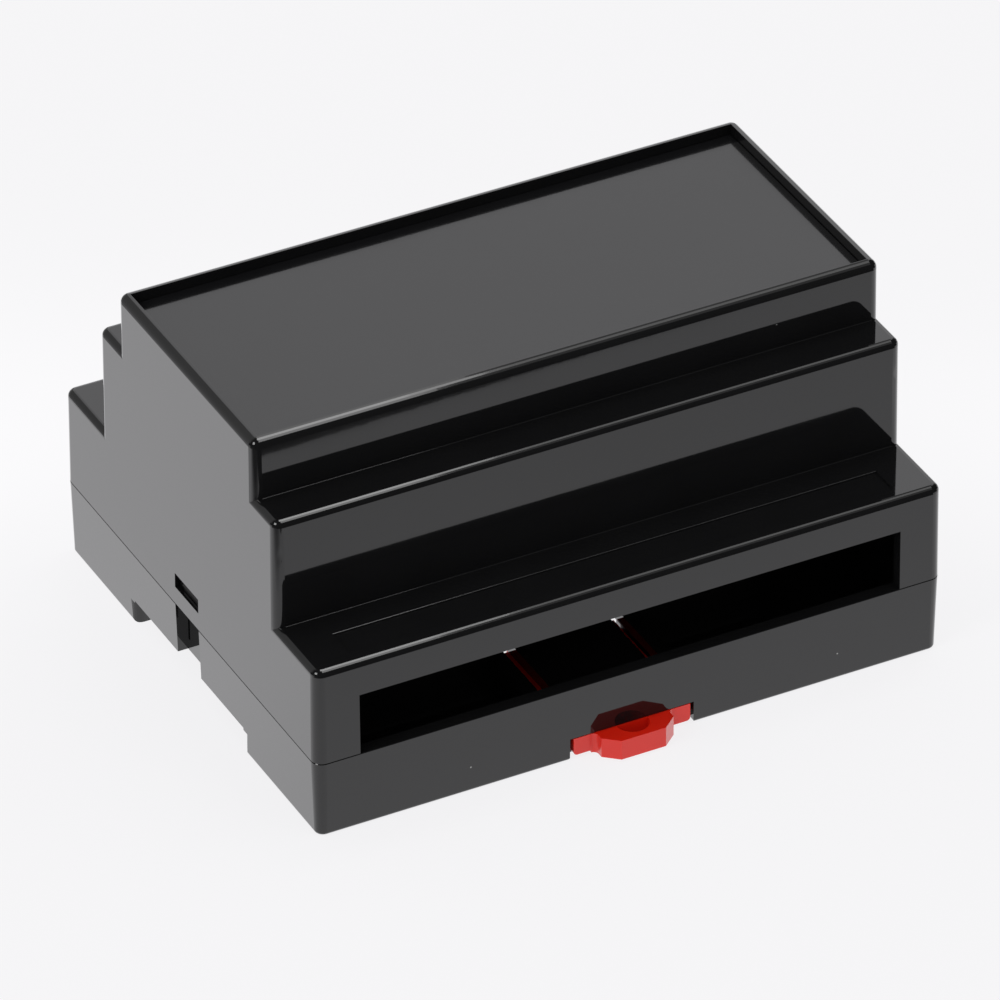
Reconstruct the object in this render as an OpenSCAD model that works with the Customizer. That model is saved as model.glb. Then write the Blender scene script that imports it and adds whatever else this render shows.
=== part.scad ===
// Snap-fit housing for equipment on a 35 mm top-hat rail.
// X runs along the rail, -Y is the side with the rail clip, +Z is the front.
// The origin lies on the rail seat, over the middle of the rail.

/* [Housing] */
// Length of the housing along the rail
housing_l = 107; // [104:0.5:140]
// Depth of the housing across the rail, at the parting line
housing_d = 87; // [84:0.2:94]
// Height of the front rim above the rail seat
front_z = 55.4; // [53:0.1:62]
// Height of the parting line above the rail seat
part_z = 9.4; // [8:0.1:10]
// Height of the feet below the rail seat
foot_h = 4; // [4:0.1:5]
// Wall thickness of the base
base_wall = 2.2; // [1.8:0.1:2.4]
// Floor thickness of the base
floor_t = 2; // [1.6:0.1:2.4]
// Wall thickness of the cover
cover_wall = 2; // [1.6:0.1:2.1]
// Mould draft of the base walls, in degrees
base_draft = 1.5; // [0.5:0.1:1.6]
// Mould draft of the cover walls, in degrees
cover_draft = 0.44; // [0.2:0.02:0.48]

/* [Edges] */
// Radius of the upright corners, at the parting line
corner_r = 1.8; // [1.8:0.1:2.6]
// Radius of the edges along the cover's steps
crest_r = 1.1; // [0.4:0.1:1.3]
// Radius of the outer edge of the front rim
rim_edge_r = 1.4; // [0.6:0.1:1.4]
// Radius of the base's bottom edges
foot_edge_r = 0.6; // [0.3:0.1:0.9]
// Radius of the upright edges where the feet meet the rail channel
foot_corner_r = 1.5; // [0.5:0.1:2]
// Radius in the corner where a cover wall stands on a step
step_fillet_r = 0.1; // [0.1:0.1:0.9]
// Edge break of both mouldings along the parting line
seam_break = 0.1; // [0.05:0.05:0.3]

/* [Cover steps] */
// Height of the lower step above the rail seat
lower_step_z = 26.2; // [24:0.1:29]
// Height of the middle step above the rail seat
middle_step_z = 45.1; // [42:0.1:46]
// Depth of the middle step, where its wall leaves the lower step
middle_d = 60.6; // [56:0.2:64]
// Depth of the top, where its wall leaves the middle step
top_d = 46.5; // [45:0.1:50]

/* [Terminal openings] */
// Width of the opening in the front and rear walls of the cover
opening_w = 92.2; // [60:0.2:96]
// Height of the opening above the parting line
opening_h = 10.7; // [6:0.05:12]
// Length of the thinned break-out strip on each lower step
strip_l = 92.6; // [60:0.2:96]
// Width of the break-out strip
strip_w = 5.3; // [3:0.1:6]
// Depth of the break-out strip
strip_depth = 0.3; // [0.2:0.05:0.6]
// Distance from the outer wall to the middle of the strip
strip_inset = 5.65; // [5:0.05:7]
// Radius of the strip's long top edges
strip_edge_r = 0.1; // [0.05:0.05:0.2]

/* [Front panel] */
// Width of the rim round the front panel
rim_w = 1.5; // [1.5:0.1:2.2]
// Depth of the panel's face below the rim
panel_recess = 1.8; // [1:0.1:3]
// Thickness of the panel
panel_t = 1.6; // [1.2:0.1:2.5]
// Gap between the panel's edge and the rim
panel_gap = 0.15; // [0.1:0.05:0.3]
// Width of the ledge that carries the panel
ledge_w = 2.5; // [2:0.1:4]
// Thickness of the ledge
ledge_t = 1.8; // [1.2:0.1:2.5]
// Width of a panel hook along the rail
hook_w = 6; // [4:0.5:10]
// Distance between the two pairs of panel hooks
hook_pitch = 64; // [40:1:80]
// Thickness of a panel hook
hook_t = 1.2; // [0.9:0.1:1.6]
// Reach of a panel hook's barb under the ledge
hook_barb = 0.6; // [0.4:0.1:1]

/* [Rail] */
// Width of the top-hat rail
rail_w = 35; // [35:0.1:35.5]
// Thickness of the rail's flanges
rail_t = 1; // [0.9:0.1:1.2]
// Height of the relief over the rail in the end walls
relief_h = 0.4; // [0.2:0.1:0.8]
// Room between the rail and the foot on the clip side
clip_side_room = 0.5; // [0.3:0.1:1]
// Room between the rail and the foot on the hook side
hook_side_room = 2.4; // [2:0.1:3]
// Room between the rail's edge and the fixed hooks that stop it
rail_play = 0.2; // [0.1:0.05:0.4]
// Room between a rail flange and the lips that hold it
flange_gap = 0.3; // [0.2:0.05:0.5]
// Reach of the fixed rail hooks under the rail's edge
rail_hook_reach = 2.6; // [2:0.1:3.2]
// Width of a fixed rail hook
rail_hook_w = 14; // [8:1:20]
// Distance between the middles of the two fixed rail hooks
rail_hook_pitch = 60; // [50:1:76]

/* [Rail clip] */
// Width of the clip
clip_w = 20; // [18:0.5:24]
// Thickness of the clip
clip_t = 3.45; // [3.2:0.05:3.6]
// Room above the clip
clip_gap = 0.15; // [0.1:0.05:0.3]
// Room beside the clip
clip_side_gap = 0.6; // [0.4:0.1:1]
// Travel of the clip from locked to released
clip_travel = 4.5; // [4:0.1:5]
// Width of the clip's middle bar and nose
bar_w = 13.6; // [12:0.2:14]
// Reach of the clip's nose under the rail's edge
nose_reach = 2.6; // [2:0.1:3.2]
// Width of the pull tab where it leaves the housing
tab_w = 12.4; // [10:0.1:13]
// Width of the pull tab's front edge
tab_front_w = 7.6; // [4:0.1:9]
// Reach of the pull tab in front of the housing
tab_reach = 3.8; // [3:0.1:6]
// Length of the pull tab's slanted corners, along its reach
tab_corner = 2.05; // [1:0.05:2.5]
// Radius where the tab meets the clip's front plate
tab_fillet_r = 0.8; // [0.4:0.1:1.2]
// Radius of the screwdriver pocket in the tab
pocket_r = 2.7; // [2:0.1:3]
// Depth of the screwdriver pocket
pocket_depth = 2.4; // [1:0.1:2.6]
// Height of the front plate's wings above the underside of the tab
wing_lift = 0.4; // [0.1:0.1:0.8]
// Thickness of the clip's front plate
clip_plate_t = 1.8; // [1.4:0.1:2]
// Thickness of the flanges that slide on the guide lips
clip_flange_t = 1.9; // [1.4:0.1:2]
// Reach of the guide lips under the flanges
guide_reach = 1.9; // [1.4:0.1:2.4]
// Room between the flanges and the guide lips
guide_gap = 0.3; // [0.2:0.05:0.4]
// Height of the stop barbs above the flanges
stop_barb_h = 1.05; // [0.8:0.05:1.4]
// Length of a stop barb
stop_barb_l = 1.5; // [1:0.1:2.5]
// Width of a floor slot over a flange
slot_w = 2; // [1.6:0.1:2.6]

/* [Latches] */
// Width of the side slot in the base and the window in the cover
latch_w = 8.1; // [6:0.1:12]
// Offset of the latches from the middle of the rail
latch_y = 0.6; // [-3:0.1:4]
// Room on each side of a latch arm
latch_gap = 0.3; // [0.2:0.05:0.6]
// Thickness of a latch arm
latch_arm_t = 1.7; // [1.2:0.1:2.2]
// Height of the latch window above the parting line
window_z = 3.15; // [2.5:0.05:5]
// Height of the latch window
window_h = 2.55; // [2:0.05:4]
// Reach of a latch barb into its window
latch_barb = 1.4; // [1:0.1:1.6]
// Room between the cover's walls and what stands up inside them
fit_gap = 0.2; // [0.1:0.05:0.3]
// Height of the locating lips above the parting line
lip_h = 2; // [1:0.1:3]
// Thickness of the locating lips
lip_t = 1.2; // [1:0.1:1.8]
// Length of each locating lip
lip_l = 26; // [10:1:30]

/* [Board posts] */
// Distance between the posts along the rail
post_pitch_x = 90; // [70:0.5:92]
// Distance between the posts across the rail
post_pitch_y = 73; // [66:0.5:74]
// Diameter of a post
post_d = 6; // [5:0.1:7]
// Height of the posts above the rail seat
post_z = 3.5; // [3:0.1:5]
// Diameter of a post's screw hole
pilot_d = 2.2; // [1.6:0.1:2.8]
// Depth of a post's screw hole
pilot_depth = 4.6; // [3:0.1:5]

/* [Hidden] */
housing_black = [0.09, 0.09, 0.1];
panel_black = [0.13, 0.13, 0.14];
clip_red = [0.8, 0.09, 0.07];

// Smoothness: steps in a quarter round, and sides of a full turn
round_steps = 6;
turn_fn = 48;
// How far a cutter runs past the face it opens
over = 1;
// How deep an added detail is rooted in the wall that carries it
root = 0.4;

base_lean = tan(base_draft);
cover_lean = tan(cover_draft);
half_l = housing_l / 2;
half_d = housing_d / 2;
corner_x = half_l - corner_r;

// Inner faces of the walls at the parting line
base_in_x = half_l - base_wall;
base_in_y = half_d - base_wall;
cover_in_x = half_l - cover_wall;
cover_in_y = half_d - cover_wall;

// Rail channel and the holding faces beside it
channel_front_y = -rail_w / 2 - clip_side_room;
channel_rear_y = rail_w / 2 + hook_side_room;
lip_top_z = -rail_t - flange_gap;

// Front panel
panel_face_z = front_z - panel_recess;
ledge_z = panel_face_z - panel_t;
top_wall_x = half_l - cover_lean * (front_z - part_z);
top_wall_y = top_d / 2 - cover_lean * (front_z - middle_step_z);
rim_in_x = top_wall_x - rim_w;
rim_in_y = top_wall_y - rim_w;
frame_in_x = rim_in_x - ledge_w;
frame_in_y = rim_in_y - ledge_w;

// Clip and its channel
notch_w = clip_w + 2 * clip_side_gap;
clip_front_y = -half_d + base_lean * part_z;
clip_top_z = -clip_gap;
clip_bottom_z = clip_top_z - clip_t;
tab_root_x = tab_w / 2 + tab_fillet_r;
plate_rear_y = clip_front_y + clip_plate_t;
flange_bottom_z = clip_top_z - clip_flange_t;
guide_top_z = flange_bottom_z - guide_gap;
guide_front_y = plate_rear_y + guide_gap;
channel_rib_x = notch_w / 2 + base_wall;
slot_mid_x = (clip_w - slot_w) / 2 + guide_gap;
stop_front_y = channel_front_y - 13.5;
slot_front_y = stop_front_y - clip_travel - guide_gap;
slot_rear_y = channel_front_y + 2;

// Points of an arc about (u, v), from angle a0 to a1
function arc(u, v, r, a0, a1) =
    [for (i = [0:round_steps]) let (a = a0 + (a1 - a0) * i / round_steps) [u + r * cos(a), v + r * sin(a)]];

function reversed(points) = [for (i = [len(points) - 1:-1:0]) points[i]];
function moved(points, u) = [for (p = points) [p[0] + u, p[1]]];
function flipped(points) = reversed([for (p = points) [-p[0], p[1]]]);

// Edge of a moulded wall, seen end on: u = 0 lies on the corner axis, the wall leans in from the
// parting edge at v = 0 and ends in a rounded crest at v = h
function wall_edge(h, r, lean, crest, seam) =
    let (crest_u = r - lean * (h - crest))
    concat(seam > 0 ? [[r - seam, 0], [r - lean * seam, seam]] : [[r, 0]],
           arc(crest_u - crest, h - crest, crest, 0, 90));

// Draws a section given in Y and Z, along X
module along_x(length) {
    rotate([90, 0, 90]) linear_extrude(length, center = true) children();
}

// Draws a section given in X and Z, along Y
module along_y(length) {
    rotate([90, 0, 0]) linear_extrude(length, center = true) children();
}

module both_ends() {
    children();
    mirror([1, 0, 0]) children();
}

module both_sides() {
    children();
    mirror([0, 1, 0]) children();
}

// Solid block with leaning walls, round upright corners on the axes (cx, cy) and a rounded crest
module moulded_block(cx, cy, h, r, lean, crest, seam = 0) {
    edge = wall_edge(h, r, lean, crest, seam);
    quarter = concat([[0, 0]], edge, [[0, h]]);
    along_x(2 * cx) polygon(concat(moved(edge, cy), flipped(moved(edge, cy))));
    both_ends() translate([cx, 0, 0]) along_y(2 * cy) polygon(quarter);
    both_ends() both_sides() translate([cx, cy, 0])
        rotate_extrude(angle = 90, $fn = turn_fn) polygon(quarter);
}

// Space with flat leaning walls, whose half sizes are given at the height ref_z
module drafted_space(half_x, half_y, z0, z1, lean, ref_z) {
    in0 = lean * (z0 - ref_z);
    in1 = lean * (z1 - ref_z);
    intersection() {
        along_y(3 * half_y) polygon([[in0 - half_x, z0], [half_x - in0, z0],
                                     [half_x - in1, z1], [in1 - half_x, z1]]);
        along_x(3 * half_x) polygon([[in0 - half_y, z0], [half_y - in0, z0],
                                     [half_y - in1, z1], [in1 - half_y, z1]]);
    }
}

// ---- Cover ----

// Corner radius of the cover at a height
function cover_r(z) = corner_r - cover_lean * (z - part_z);

// One step of the cover, from inside the step below it; depth is taken at the height foot_z
module cover_step(depth, foot_z, top_z, edge_r) {
    start_z = foot_z - crest_r;
    cy = depth / 2 - cover_r(foot_z);
    translate([0, 0, start_z])
        moulded_block(corner_x, cy, top_z - start_z, cover_r(start_z), cover_lean, edge_r);
    both_sides() along_x(2 * corner_x)
        polygon(concat([[cy, foot_z - root], [depth / 2 + step_fillet_r, foot_z - root]],
                       reversed(arc(depth / 2 + step_fillet_r, foot_z + step_fillet_r,
                                    step_fillet_r, 180, 270)),
                       [[cy, foot_z + step_fillet_r]]));
}

module cover_outside() {
    translate([0, 0, part_z])
        moulded_block(corner_x, half_d - corner_r, lower_step_z - part_z, corner_r, cover_lean,
                      crest_r, seam_break);
    cover_step(middle_d, lower_step_z, middle_step_z, crest_r);
    cover_step(top_d, middle_step_z, front_z, rim_edge_r);
}

module cover_inside() {
    drafted_space(cover_in_x, cover_in_y, part_z - over, lower_step_z - cover_wall,
                  cover_lean, part_z);
    drafted_space(cover_in_x, middle_d / 2 - cover_wall, part_z, middle_step_z - cover_wall,
                  cover_lean, lower_step_z);
    drafted_space(cover_in_x, top_d / 2 - cover_wall, lower_step_z, ledge_z - ledge_t,
                  cover_lean, middle_step_z);
}

// Recess and window for the front panel
module panel_seat() {
    translate([-rim_in_x, -rim_in_y, ledge_z]) cube([2 * rim_in_x, 2 * rim_in_y, front_z]);
    translate([-frame_in_x, -frame_in_y, ledge_z - ledge_t - over])
        cube([2 * frame_in_x, 2 * frame_in_y, front_z]);
}

module terminal_opening() {
    translate([-opening_w / 2, -half_d - over, part_z - over])
        cube([opening_w, cover_wall + 2 * over, opening_h + over]);
}

module breakout_strip() {
    half = concat([[strip_w / 2, -strip_depth]],
                  reversed(arc(strip_w / 2 + strip_edge_r, -strip_edge_r, strip_edge_r, 90, 180)),
                  [[strip_w / 2 + strip_edge_r, over]]);
    translate([0, strip_inset - half_d, lower_step_z]) along_x(strip_l)
        polygon(concat(half, flipped(half)));
}

module latch_window() {
    translate([cover_in_x - over, latch_y - latch_w / 2, part_z + window_z])
        cube([cover_wall + 2 * over, latch_w, window_h]);
}

module cover() {
    color(housing_black) difference() {
        cover_outside();
        cover_inside();
        panel_seat();
        both_sides() terminal_opening();
        both_sides() breakout_strip();
        both_ends() latch_window();
    }
}

// ---- Front panel ----

module panel_hook() {
    outer_y = frame_in_y - panel_gap;
    catch_z = ledge_z - ledge_t - panel_gap;
    catch_h = 2 * hook_barb;
    translate([hook_pitch / 2, 0, 0]) along_x(hook_w)
        polygon([[outer_y - hook_t, ledge_z + root], [outer_y, ledge_z + root],
                 [outer_y, catch_z], [outer_y + hook_barb, catch_z],
                 [outer_y, catch_z - catch_h], [outer_y - hook_t, catch_z - catch_h]]);
}

module front_panel() {
    plate_l = 2 * (rim_in_x - panel_gap);
    plate_d = 2 * (rim_in_y - panel_gap);
    color(panel_black) {
        translate([-plate_l / 2, -plate_d / 2, ledge_z]) cube([plate_l, plate_d, panel_t]);
        both_ends() both_sides() panel_hook();
    }
}

// ---- Base ----

module base_outside() {
    translate([0, 0, part_z]) mirror([0, 0, 1])
        moulded_block(corner_x, half_d - corner_r, part_z + foot_h, corner_r, base_lean,
                      foot_edge_r, seam_break);
}

// Hollow above the floor, which is raised over the rail and over the clip
module base_inside() {
    low_z = floor_t - foot_h;
    difference() {
        drafted_space(base_in_x, base_in_y, low_z, part_z + over, -base_lean, part_z);
        translate([-half_l, channel_front_y - base_wall, low_z - over])
            cube([housing_l, channel_rear_y - channel_front_y + 2 * base_wall, foot_h + over]);
        translate([-channel_rib_x, -half_d, low_z - over])
            cube([2 * channel_rib_x, half_d, foot_h + over]);
    }
}

// Room for the rail, with the foot corners rounded off at both ends
module rail_channel() {
    side_x = half_l - base_lean * part_z;
    end = concat(reversed(arc(side_x - foot_corner_r, channel_front_y - foot_corner_r,
                              foot_corner_r, 0, 90)),
                 [[side_x + over, channel_front_y - foot_corner_r],
                  [side_x + over, channel_rear_y + foot_corner_r]],
                 reversed(arc(side_x - foot_corner_r, channel_rear_y + foot_corner_r,
                              foot_corner_r, -90, 0)));
    translate([0, 0, -foot_h - over]) linear_extrude(foot_h + over)
        polygon(concat(end, flipped(end)));
}

// Relief in the end wall, over the rail
module end_relief() {
    translate([base_in_x, channel_front_y, -over])
        cube([base_wall + over, channel_rear_y - channel_front_y, relief_h + over]);
}

// Room for the clip under the raised floor, with rounded corners at the notch in the front wall
module clip_channel() {
    notch_end_y = guide_front_y - root;
    half = concat([[notch_w / 2, 0]],
                  arc(notch_w / 2 + foot_edge_r, foot_edge_r - foot_h, foot_edge_r, 180, 270),
                  [[notch_w / 2 + foot_edge_r, -foot_h - over]]);
    translate([-notch_w / 2, notch_end_y - over, -foot_h - over])
        cube([notch_w, channel_front_y - notch_end_y + 2 * over, foot_h + over]);
    translate([0, (notch_end_y - half_d - over) / 2, 0]) along_y(notch_end_y + half_d + over)
        polygon(concat(half, flipped(half)));
}

// Lip that carries one flange of the clip
module guide_lip() {
    lip_x = clip_w / 2 - guide_reach;
    translate([lip_x, guide_front_y, -foot_h])
        cube([notch_w / 2 + root - lip_x, channel_front_y - guide_front_y, foot_h + guide_top_z]);
}

module floor_slot() {
    translate([slot_mid_x - slot_w / 2, slot_front_y, -over])
        cube([slot_w, slot_rear_y - slot_front_y, floor_t + 2 * over]);
}

// Fixed hook that stops the rail's rear edge and holds its flange
module rail_hook() {
    stop_y = rail_w / 2 + rail_play;
    tip_y = rail_w / 2 - rail_hook_reach;
    lead = (foot_h + lip_top_z) / 2;
    translate([rail_hook_pitch / 2, 0, 0]) along_x(rail_hook_w)
        polygon([[channel_rear_y + root, -foot_h], [tip_y + lead, -foot_h],
                 [tip_y, lead - foot_h], [tip_y, lip_top_z], [stop_y, lip_top_z],
                 [stop_y, root], [channel_rear_y + root, root]]);
}

// Slot in the side wall that leaves the latch arm free
module latch_slot() {
    translate([base_in_x, latch_y - latch_w / 2, -over])
        cube([base_wall + over, latch_w, part_z + 2 * over]);
    translate([base_in_x - root, latch_y - latch_w / 2, floor_t])
        cube([base_wall + over, latch_w, part_z]);
}

// Springy arm that snaps into the cover's side window
module latch_arm() {
    barb_z = part_z + window_z + fit_gap;
    barb_top_z = part_z + window_z + window_h - fit_gap;
    barb_tip = latch_barb / 3;
    translate([0, latch_y, 0]) along_y(latch_w - 2 * latch_gap)
        polygon([[base_in_x - latch_arm_t, 0], [base_in_x, 0], [base_in_x, barb_z],
                 [base_in_x + latch_barb, barb_z], [base_in_x + latch_barb, barb_z + barb_tip],
                 [base_in_x, barb_top_z], [base_in_x - latch_arm_t / 2, barb_top_z + latch_arm_t / 2],
                 [base_in_x - latch_arm_t, barb_top_z + latch_arm_t / 2]]);
}

// Lip that stands up inside the cover's side wall
module locating_lip() {
    outer_x = cover_in_x - fit_gap;
    translate([0, (lip_l + latch_w) / 2 + base_wall, 0]) along_y(lip_l)
        polygon([[outer_x - lip_t, part_z + lip_h], [outer_x, part_z + lip_h], [outer_x, part_z],
                 [base_in_x + root, part_z], [base_in_x + root, part_z - 2 * lip_t],
                 [base_in_x - root, part_z - 2 * lip_t], [outer_x - lip_t, part_z - lip_t]]);
}

module board_post() {
    translate([post_pitch_x / 2, post_pitch_y / 2, floor_t - foot_h - root])
        cylinder(d = post_d, h = post_z - floor_t + foot_h + root, $fn = turn_fn);
}

module pilot_hole() {
    translate([post_pitch_x / 2, post_pitch_y / 2, post_z - pilot_depth])
        cylinder(d = pilot_d, h = pilot_depth + over, $fn = turn_fn);
}

module base() {
    color(housing_black) difference() {
        union() {
            difference() {
                base_outside();
                base_inside();
                rail_channel();
                both_ends() end_relief();
                clip_channel();
                both_ends() floor_slot();
                both_ends() latch_slot();
            }
            both_ends() guide_lip();
            both_ends() rail_hook();
            both_ends() latch_arm();
            both_ends() both_sides() locating_lip();
            both_ends() both_sides() board_post();
        }
        both_ends() both_sides() pilot_hole();
    }
}

// ---- Rail clip ----

// Front plate that fills the notch, with its lower corners rounded
module clip_plate() {
    r = foot_edge_r;
    wing_z = clip_bottom_z + wing_lift;
    half = concat([[tab_root_x, clip_bottom_z], [tab_root_x, wing_z]],
                  arc(clip_w / 2 - r, wing_z + r, r, -90, 0), [[clip_w / 2, clip_top_z]]);
    translate([0, (clip_front_y + plate_rear_y) / 2, 0]) along_y(clip_plate_t)
        polygon(concat(half, flipped(half)));
}

// Pull tab with slanted corners
module pull_tab() {
    front_y = clip_front_y - tab_reach;
    half = concat([[tab_root_x, clip_front_y]],
                  arc(tab_root_x, clip_front_y - tab_fillet_r, tab_fillet_r, 90, 180),
                  [[tab_w / 2, front_y + tab_corner], [tab_front_w / 2, front_y]]);
    translate([0, 0, clip_bottom_z]) linear_extrude(clip_t)
        polygon(concat(half, flipped(half)));
}

// Half-round pocket for a screwdriver, open to the top of the tab
module tab_pocket() {
    translate([0, clip_front_y, clip_top_z - pocket_depth]) rotate([0, 0, 180])
        rotate_extrude(angle = 180, $fn = turn_fn) square([pocket_r, clip_t]);
}

// Middle bar, with the nose that snaps under the rail's front edge
module clip_bar() {
    shoulder_y = -rail_w / 2 - rail_play;
    tip_y = -rail_w / 2 + nose_reach;
    bevel = nose_reach / 2;
    along_x(bar_w)
        polygon([[clip_front_y, clip_bottom_z], [tip_y, clip_bottom_z],
                 [tip_y, lip_top_z - bevel], [tip_y - bevel, lip_top_z],
                 [shoulder_y, lip_top_z], [shoulder_y, clip_top_z], [clip_front_y, clip_top_z]]);
}

module clip_flange() {
    flange_l = channel_front_y - guide_gap - plate_rear_y;
    translate([0, plate_rear_y - root, flange_bottom_z])
        cube([clip_w / 2, flange_l + root, clip_flange_t]);
}

// Barb in a floor slot, which stops the clip when it is pulled out
module stop_barb() {
    barb_w = slot_w - 2 * guide_gap;
    translate([slot_mid_x, 0, 0]) along_x(barb_w)
        polygon([[stop_front_y, clip_top_z - root], [stop_front_y, clip_top_z + stop_barb_h],
                 [stop_front_y + stop_barb_l / 3, clip_top_z + stop_barb_h],
                 [stop_front_y + stop_barb_l, clip_top_z],
                 [stop_front_y + stop_barb_l, clip_top_z - root]]);
}

module rail_clip() {
    color(clip_red) difference() {
        union() {
            clip_plate();
            pull_tab();
            clip_bar();
            both_ends() clip_flange();
            both_ends() stop_barb();
        }
        tab_pocket();
    }
}

base();
cover();
front_panel();
rail_clip();
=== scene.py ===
from math import cos, pi, radians, sin

import bpy
from mathutils import Matrix, Vector


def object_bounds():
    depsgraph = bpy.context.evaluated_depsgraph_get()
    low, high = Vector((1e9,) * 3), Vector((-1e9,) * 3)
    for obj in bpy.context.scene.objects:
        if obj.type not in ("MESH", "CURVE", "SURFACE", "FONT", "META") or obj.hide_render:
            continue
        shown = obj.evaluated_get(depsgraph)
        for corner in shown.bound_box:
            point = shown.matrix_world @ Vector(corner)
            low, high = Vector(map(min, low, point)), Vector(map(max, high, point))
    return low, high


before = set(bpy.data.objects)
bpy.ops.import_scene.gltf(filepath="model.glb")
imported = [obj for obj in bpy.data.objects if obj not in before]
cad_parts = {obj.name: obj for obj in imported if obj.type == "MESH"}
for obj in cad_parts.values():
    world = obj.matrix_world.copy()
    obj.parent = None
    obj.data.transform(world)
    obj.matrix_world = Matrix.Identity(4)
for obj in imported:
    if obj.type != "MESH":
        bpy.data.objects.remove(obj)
cad_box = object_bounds()

# Lengths are in metres.
MM = 0.001

# ---- Camera ----

# Where it looks, from how far and from which side
AIM = Vector((7.2, 14.25, 3.4)) * MM
DISTANCE = 1.6
AZIMUTH = radians(-27.17)
ELEVATION = radians(34.39)
ROLL = radians(-0.33)
LENS = 369.7
SENSOR = 36.0
CLIP_END = 100


def add_camera():
    forward = Vector((-sin(AZIMUTH) * cos(ELEVATION), cos(AZIMUTH) * cos(ELEVATION), -sin(ELEVATION)))
    level = forward.cross(Vector((0, 0, 1))).normalized()
    right = level * cos(ROLL) + level.cross(forward) * sin(ROLL)
    up = right.cross(forward)
    data = bpy.data.cameras.new("camera")
    data.lens = LENS
    data.sensor_width = SENSOR
    data.clip_end = CLIP_END
    camera = bpy.data.objects.new("camera", data)
    bpy.context.scene.collection.objects.link(camera)
    axes = Matrix((right, up, -forward)).transposed()
    camera.matrix_world = Matrix.Translation(AIM - forward * DISTANCE) @ axes.to_4x4()
    bpy.context.scene.camera = camera


# ---- Node trees ----

class Nodes:
    """A node tree, with short calls for adding and linking nodes."""

    def __init__(self, tree):
        self.tree = tree
        tree.nodes.clear()

    def add(self, kind, **settings):
        node = self.tree.nodes.new(kind)
        for key, value in settings.items():
            setattr(node, key, value)
        return node

    def link(self, source, target):
        self.tree.links.new(source, target)

    def fill(self, socket, value):
        if isinstance(value, bpy.types.NodeSocket):
            self.link(value, socket)
        else:
            socket.default_value = value

    def filled(self, kind, *values, **settings):
        """A node whose first sockets hold those values; gives its first output."""
        node = self.add(kind, **settings)
        for socket, value in zip(node.inputs, values):
            self.fill(socket, value)
        return node.outputs[0]

    def math(self, operation, *values, clamp=False):
        return self.filled("ShaderNodeMath", *values, operation=operation, use_clamp=clamp)

    def mix_colours(self, factor, a, b):
        node = self.add("ShaderNodeMix", data_type="RGBA")
        self.fill(node.inputs["Factor"], factor)
        self.fill(node.inputs["A"], a)
        self.fill(node.inputs["B"], b)
        return node.outputs["Result"]

    def ramp(self, value, low, high, to_low=0.0, to_high=1.0, curve="LINEAR"):
        node = self.add("ShaderNodeMapRange", interpolation_type=curve)
        self.fill(node.inputs["Value"], value)
        node.inputs["From Min"].default_value = low
        node.inputs["From Max"].default_value = high
        node.inputs["To Min"].default_value = to_low
        node.inputs["To Max"].default_value = to_high
        return node.outputs["Result"]

    def place(self):
        return self.add("ShaderNodeTexCoord").outputs["Object"]

    def along(self, place, direction):
        """How far a place lies from the origin in that direction."""
        node = self.add("ShaderNodeVectorMath", operation="DOT_PRODUCT")
        self.link(place, node.inputs[0])
        node.inputs[1].default_value = direction
        return node.outputs["Value"]

    def beyond(self, edge, inside, outside):
        """A level that goes from inside to outside where a point passes that edge."""
        direction, distance, softness = edge
        past = self.along(self.place(), direction)
        return self.ramp(past, distance - softness / 2, distance + softness / 2, inside, outside)

    def noise(self, place, size, detail, roughness=0.5):
        """Cloudy noise whose blobs measure about size."""
        node = self.add("ShaderNodeTexNoise")
        self.link(place, node.inputs["Vector"])
        node.inputs["Scale"].default_value = 1 / size
        node.inputs["Detail"].default_value = detail
        node.inputs["Roughness"].default_value = roughness
        return node.outputs["Fac"]

    def specks(self, place, pitch, radius, share):
        """Small dots, at most one in each cell of that pitch, in that share of the cells."""
        cells = self.add("ShaderNodeTexVoronoi")
        self.link(place, cells.inputs["Vector"])
        cells.inputs["Scale"].default_value = 1 / pitch
        chance = self.add("ShaderNodeSeparateColor")
        self.link(cells.outputs["Color"], chance.inputs[0])
        kept = self.math("LESS_THAN", chance.outputs[0], share)
        size = self.math("MULTIPLY", chance.outputs[1], radius / pitch)
        near = self.math("LESS_THAN", cells.outputs["Distance"], size)
        return self.math("MULTIPLY", kept, near)


def new_material(name):
    material = bpy.data.materials.new(name)
    material.use_nodes = True
    return material, Nodes(material.node_tree)


# ---- Materials ----

# Each plastic has its body's colour, how far clouds darken and lighten it, the refraction and roughness
# of body and coat, how deep the skin waves, how much dust lies on it and how much light it lets in.
HOUSING = {"colour": (0.0056, 0.0056, 0.0059), "shade": 0.15, "ior": 1.365, "coat_ior": 1.365,
           "roughness": 0.05, "coat_roughness": 0.02, "peel": 0.0015 * MM, "dust": 0.7, "glow": 0.0}
PANEL = {"colour": (0.0055, 0.0055, 0.0060), "shade": 0.15, "ior": 1.335, "coat_ior": 1.335,
         "roughness": 0.16, "coat_roughness": 0.06, "peel": 0.0015 * MM, "dust": 0.6, "glow": 0.0}
CLIP = {"colour": (0.63, 0.012, 0.003), "shade": 0.08, "ior": 1.42, "coat_ior": 1.28,
        "roughness": 0.30, "coat_roughness": 0.12, "peel": 0.006 * MM, "dust": 0.0, "glow": 0.15}

CLOUD_SIZE = 9 * MM
SMEAR_SIZE = 22 * MM
SKIN_SIZE = 2.4 * MM
# Smears raise the roughness up to this many times, over this part of their noise's range
SMEAR_DULLNESS = 1.5
SMEAR_RANGE = (0.42, 0.72)
# Dust comes as spots and as finer, fainter fluff; each has its pitch, largest radius and share of the cells
SPOTS = (7 * MM, 0.17 * MM, 0.08)
FLUFF = (3.1 * MM, 0.10 * MM, 0.12)
FLUFF_STRENGTH = 0.4
DUST_COLOUR = (0.40, 0.40, 0.39, 1)
DUST_DULLNESS = 0.5
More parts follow.
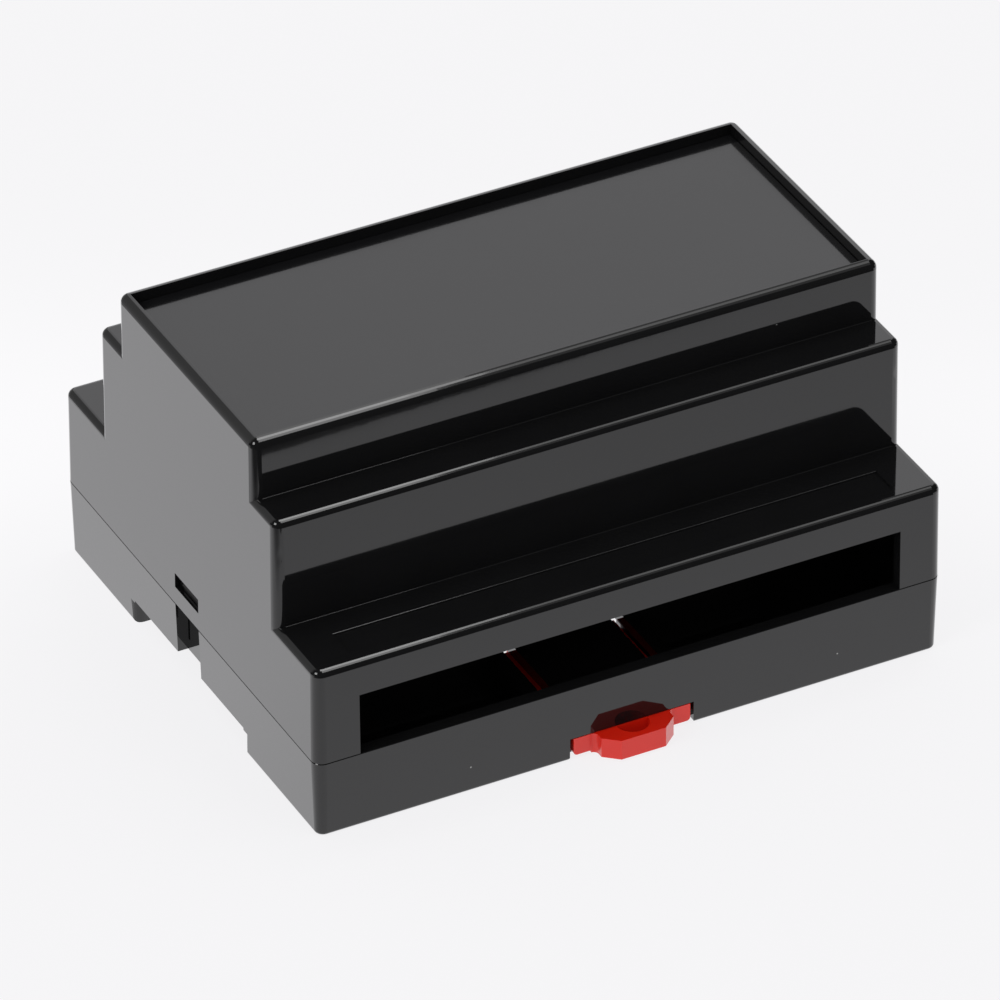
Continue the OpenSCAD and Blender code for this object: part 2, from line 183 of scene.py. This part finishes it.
# How far red, green and blue light spread inside the translucent plastic
GLOW_SPREAD = (1.0, 0.12, 0.08)
GLOW_DEPTH = 1.2 * MM


def moulded_plastic(name, colour, shade, ior, coat_ior, roughness, coat_roughness, peel, dust, glow):
    """Smooth moulded plastic: a polished skin over a slightly duller body, with faint dust and smears."""
    material, nodes = new_material(name)
    place = nodes.place()
    clouds = nodes.noise(place, CLOUD_SIZE, detail=3)
    smears = nodes.noise(place, SMEAR_SIZE, detail=4, roughness=0.6)
    darker = (*[c * (1 - shade) for c in colour], 1)
    lighter = (*[c * (1 + shade) for c in colour], 1)
    spots = nodes.math("MULTIPLY", nodes.specks(place, *SPOTS), dust)
    fluff = nodes.math("MULTIPLY", nodes.specks(place, *FLUFF), FLUFF_STRENGTH * dust)
    dusty = nodes.math("MAXIMUM", spots, fluff)
    wear = nodes.ramp(smears, *SMEAR_RANGE, roughness, roughness * SMEAR_DULLNESS)
    dulled = nodes.math("ADD", wear, nodes.math("MULTIPLY", dusty, DUST_DULLNESS), clamp=True)
    skin = nodes.add("ShaderNodeBump")
    skin.inputs["Strength"].default_value = 1.0
    skin.inputs["Distance"].default_value = peel
    nodes.link(nodes.noise(place, SKIN_SIZE, detail=2), skin.inputs["Height"])

    shader = nodes.add("ShaderNodeBsdfPrincipled")
    body = nodes.mix_colours(clouds, darker, lighter)
    nodes.link(nodes.mix_colours(dusty, body, DUST_COLOUR), shader.inputs["Base Color"])
    nodes.link(dulled, shader.inputs["Roughness"])
    shader.inputs["IOR"].default_value = ior
    shader.inputs["Coat Weight"].default_value = 1.0
    shader.inputs["Coat IOR"].default_value = coat_ior
    shader.inputs["Coat Roughness"].default_value = coat_roughness
    if glow:
        shader.inputs["Subsurface Weight"].default_value = glow
        shader.inputs["Subsurface Radius"].default_value = GLOW_SPREAD
        shader.inputs["Subsurface Scale"].default_value = GLOW_DEPTH
    nodes.link(skin.outputs["Normal"], shader.inputs["Normal"])
    nodes.link(skin.outputs["Normal"], shader.inputs["Coat Normal"])
    output = nodes.add("ShaderNodeOutputMaterial")
    nodes.link(shader.outputs["BSDF"], output.inputs["Surface"])
    return material


def dress(node, material):
    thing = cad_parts[node]
    thing.data.materials.clear()
    thing.data.materials.append(material)


def dress_parts():
    housing = moulded_plastic("black moulded ABS", **HOUSING)
    dress("base", housing)
    dress("cover", housing)
    dress("front_panel", moulded_plastic("panel plastic", **PANEL))
    dress("rail_clip", moulded_plastic("red clip plastic", **CLIP))


# ---- Table ----

TABLE_SIZE = 12.0
TABLE_COLOUR = (0.965, 0.96, 0.975, 1)
# The table glows white to the camera, and its paint takes the object's shadow
TABLE_GLOW = 0.855
TABLE_SHADE = 0.09
# A painted pool of light: the table's glow is slightly brighter in a band across it behind the object: its
# level, middle and width
LIGHT_POOL_LEVEL = 0.05
LIGHT_POOL_MIDDLE = 45 * MM
LIGHT_POOL_WIDTH = 42 * MM
# In the object's reflections the table is dimmer at the front: its level there, and from where to where
# along Y it rises to full
MIRRORED_WHITE = (0.985, 0.98, 1.0, 1)
FRONT_LEVEL = 0.83
FRONT_FADE = (-100 * MM, 0.0)
# Its bright part ends ahead of the object, at its front-left corner and at its rear-left corner;
# an edge has its direction from the origin, distance and softness, and leads to the level that follows it
FRONT_EDGE = ((-0.03, -1, 0), 101.6 * MM, 0.4 * MM)
ROOM = 0.03
CORNER_EDGE = ((-0.80, -0.60, 0), 124 * MM, 24 * MM)
CORNER_LEVEL = 0.1
LEFT_EDGE = ((-1, 0, 0), 99 * MM, 4 * MM)
REAR_EDGE = ((0, 1, 0), 40 * MM, 40 * MM)
REAR_WALL = 0.36


def table_glow(nodes):
    # Painted pool of light: a brighter band of glow across the table behind the object, added to its even
    # glow
    across = nodes.along(nodes.place(), (-sin(AZIMUTH), cos(AZIMUTH), 0))
    off_light_pool = nodes.math("DIVIDE", nodes.math("SUBTRACT", across, LIGHT_POOL_MIDDLE), LIGHT_POOL_WIDTH)
    falloff = nodes.math("MULTIPLY", nodes.math("MULTIPLY", off_light_pool, off_light_pool), -1.0)
    light_pool = nodes.math("MULTIPLY", nodes.math("EXPONENT", falloff), LIGHT_POOL_LEVEL)
    return nodes.math("ADD", light_pool, TABLE_GLOW)


def mirrored_glow(nodes):
    bright = nodes.ramp(nodes.along(nodes.place(), (0, 1, 0)), *FRONT_FADE, FRONT_LEVEL, 1.0)
    bright = nodes.math("MULTIPLY", bright, nodes.beyond(FRONT_EDGE, 1.0, ROOM))
    bright = nodes.math("MULTIPLY", bright, nodes.beyond(CORNER_EDGE, 1.0, CORNER_LEVEL))
    rear_left = nodes.math("MULTIPLY", nodes.beyond(LEFT_EDGE, 0.0, 1.0), nodes.beyond(REAR_EDGE, 0.0, 1.0))
    bright = nodes.math("MULTIPLY", bright, nodes.ramp(rear_left, 0.0, 1.0, 1.0, REAR_WALL))
    return nodes.math("MAXIMUM", bright, ROOM)


def white_table():
    material, nodes = new_material("white table")
    paint = nodes.filled("ShaderNodeBsdfDiffuse", (TABLE_SHADE, TABLE_SHADE, TABLE_SHADE, 1))
    glow = nodes.filled("ShaderNodeEmission", TABLE_COLOUR, table_glow(nodes))
    seen = nodes.filled("ShaderNodeAddShader", paint, glow)
    mirrored = nodes.filled("ShaderNodeEmission", MIRRORED_WHITE, mirrored_glow(nodes))
    rays = nodes.add("ShaderNodeLightPath").outputs
    indirect = nodes.math("MAXIMUM", rays["Is Glossy Ray"], rays["Is Transmission Ray"])
    surface = nodes.filled("ShaderNodeMixShader", indirect, seen, mirrored)
    nodes.link(surface, nodes.add("ShaderNodeOutputMaterial").inputs["Surface"])
    return material


def add_floor():
    half = TABLE_SIZE / 2
    corners = [(-half, -half, 0), (half, -half, 0), (half, half, 0), (-half, half, 0)]
    data = bpy.data.meshes.new("floor")
    data.from_pydata(corners, [], [(0, 1, 2, 3)])
    data.materials.append(white_table())
    floor = bpy.data.objects.new("floor", data)
    floor.location.z = cad_box[0][2]
    bpy.context.scene.collection.objects.link(floor)


# ---- Room ----

# In the object's reflections a white backdrop stands behind it and to its right: which way that lies,
# and the angles from there at which the backdrop has ended and is still whole
BACKDROP_WAY = Vector((0.42, 0.76, 0.38)).normalized()
BACKDROP_END = radians(24)
BACKDROP_WHOLE = radians(18.5)
# Around it a grey wall fills what lies behind the object; it fades in while the Y of the way there rises
# from the first of these to the second
REAR_WALL_FADE = (0.35, 0.65)
# Light from all around, which reflections don't show
SOFT_LIGHT = 0.75


def add_world():
    world = bpy.data.worlds.new("studio")
    bpy.context.scene.world = world
    world.use_nodes = True
    nodes = Nodes(world.node_tree)

    def background(colour, strength):
        return nodes.filled("ShaderNodeBackground", colour, strength)

    def blend(factor, a, b):
        return nodes.filled("ShaderNodeMixShader", factor, a, b)

    def grey(strength):
        return background((1, 1, 1, 1), strength)

    way = nodes.add("ShaderNodeTexCoord").outputs["Generated"]
    facing = nodes.along(way, BACKDROP_WAY)
    inside = nodes.ramp(facing, cos(BACKDROP_END), cos(BACKDROP_WHOLE), curve="SMOOTHSTEP")
    behind = nodes.ramp(nodes.along(way, (0, 1, 0)), *REAR_WALL_FADE, curve="SMOOTHSTEP")
    white = background(MIRRORED_WHITE, 1.0)
    mirrored = blend(inside, blend(behind, grey(ROOM), grey(REAR_WALL)), white)
    rays = nodes.add("ShaderNodeLightPath").outputs
    seen = blend(rays["Is Glossy Ray"], grey(SOFT_LIGHT), mirrored)
    seen = blend(rays["Is Camera Ray"], seen, white)
    nodes.link(seen, nodes.add("ShaderNodeOutputWorld").inputs["Surface"])


# ---- Lamps ----

SOFTBOX_PLACE = Vector((-1.2, -0.3, 0.9))
SOFTBOX_SIZE = 0.6
SOFTBOX_POWER = 7
# Soft strips hang above the object and shine straight down. Each has its y and depth, and parts along x
# with their x from, x to and glow: bright over the object's left end and dimmer to its right
STRIP_HEIGHT = 0.9
STRIPS = {
    "rear strip": (0.66, 0.14, ((0.15, 0.42, 1.2),)),
    "overhead strip": (0.12, 0.16, ((0.02, 0.315, 5.6), (0.315, 0.335, 4.0), (0.335, 0.50, 1.5))),
    "front strip": (-0.37, 0.20, ((0.05, 0.345, 3.2), (0.345, 0.52, 0.35))),
}


def add_lamp(name, place, width, depth, power):
    data = bpy.data.lights.new(name, "AREA")
    data.shape = "RECTANGLE"
    data.size = width
    data.size_y = depth
    data.energy = power
    lamp = bpy.data.objects.new(name, data)
    lamp.location = place
    bpy.context.scene.collection.objects.link(lamp)
    return lamp


def add_lamps():
    softbox = add_lamp("left softbox", SOFTBOX_PLACE, SOFTBOX_SIZE, SOFTBOX_SIZE, SOFTBOX_POWER)
    softbox.rotation_euler = (-SOFTBOX_PLACE).to_track_quat("-Z", "Y").to_euler()
    for name, (y, depth, parts) in STRIPS.items():
        for number, (x0, x1, glow) in enumerate(parts):
            place = ((x0 + x1) / 2, y, STRIP_HEIGHT)
            add_lamp("%s %d" % (name, number), place, x1 - x0, depth, glow * pi * (x1 - x0) * depth)


add_camera()
dress_parts()
add_floor()
add_world()
add_lamps()
bpy.context.scene.view_settings.view_transform = "Standard"
